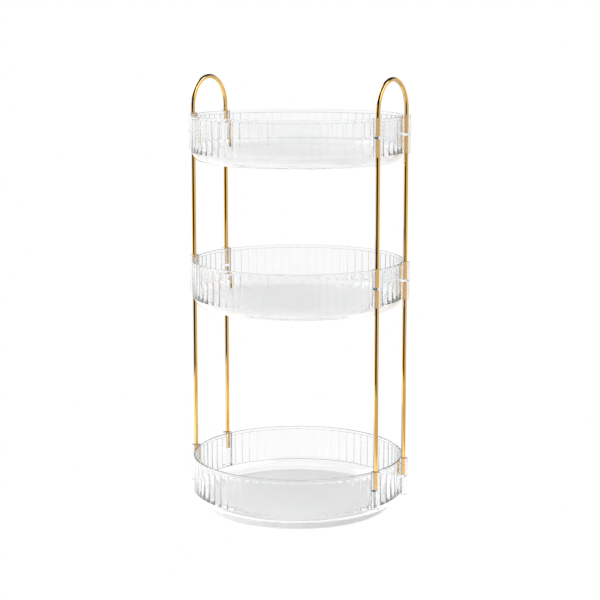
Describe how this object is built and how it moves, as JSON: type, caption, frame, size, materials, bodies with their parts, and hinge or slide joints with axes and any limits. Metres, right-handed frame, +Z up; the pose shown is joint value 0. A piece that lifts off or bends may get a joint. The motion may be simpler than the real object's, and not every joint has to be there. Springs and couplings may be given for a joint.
{
  "type": "tiered cake stand",
  "caption": "Rotating tiered stand: clear fluted round trays stacked on gold rods, with a gold arched handle on each side of the top tray and a white ball-bearing turntable below.",
  "frame": {"origin": "centre of the stand's footprint, on the surface that its pads rest on", "axes": "+Z up along the turning axis; the two handles are on +X and -X"},
  "size_m": [0.2248, 0.2198, 0.4487],
  "materials": {
    "clear_plastic": "clear injection-moulded plastic, polished, with a fine frosting on the floors",
    "white_plastic": "white moulded plastic, satin",
    "cage_plastic": "plain moulded plastic",
    "gold_plating": "polished gold-coloured plating on steel wire",
    "steel": "bright plain steel",
    "rubber": "soft matt rubber"
  },
  "bodies": {
    "base": {"turntable_lower_plate": "white_plastic", "foot_pad_1": "rubber", "foot_pad_2": "rubber", "foot_pad_3": "rubber", "foot_pad_4": "rubber", "foot_pad_5": "rubber", "foot_pad_6": "rubber"},
    "rack": {"turntable_upper_plate": "white_plastic", "pivot_washer": "steel", "pivot_screw": "steel", "bottom_tray": "clear_plastic", "middle_tray": "clear_plastic", "top_tray": "clear_plastic", "left_handle": "gold_plating", "right_handle": "gold_plating", "upper_rod_left_front": "gold_plating", "upper_rod_left_rear": "gold_plating", "upper_rod_right_front": "gold_plating", "upper_rod_right_rear": "gold_plating", "lower_rod_left_front": "gold_plating", "lower_rod_left_rear": "gold_plating", "lower_rod_right_front": "gold_plating", "lower_rod_right_rear": "gold_plating"},
    "ball_ring": {"ball_cage": "cage_plastic", "bearing_ball_1": "steel", "bearing_ball_2": "steel", "bearing_ball_3": "steel", "bearing_ball_4": "steel", "bearing_ball_5": "steel", "bearing_ball_6": "steel", "bearing_ball_7": "steel", "bearing_ball_8": "steel", "bearing_ball_9": "steel", "bearing_ball_10": "steel", "bearing_ball_11": "steel", "bearing_ball_12": "steel"}
  },
  "joints": [
    {"name": "rack_spin", "type": "hinge", "parent": "base", "child": "rack", "pos_m": [0, 0, 0.0037], "axis": [0, 0, 1], "continuous": true},
    {"name": "ball_ring_spin", "type": "hinge", "parent": "base", "child": "ball_ring", "pos_m": [0, 0, 0.0037], "axis": [0, 0, 1], "continuous": true}
  ],
  "couplings": [
    {"joint": "ball_ring_spin", "follows": "rack_spin", "ratio": 0.5}
  ]
}
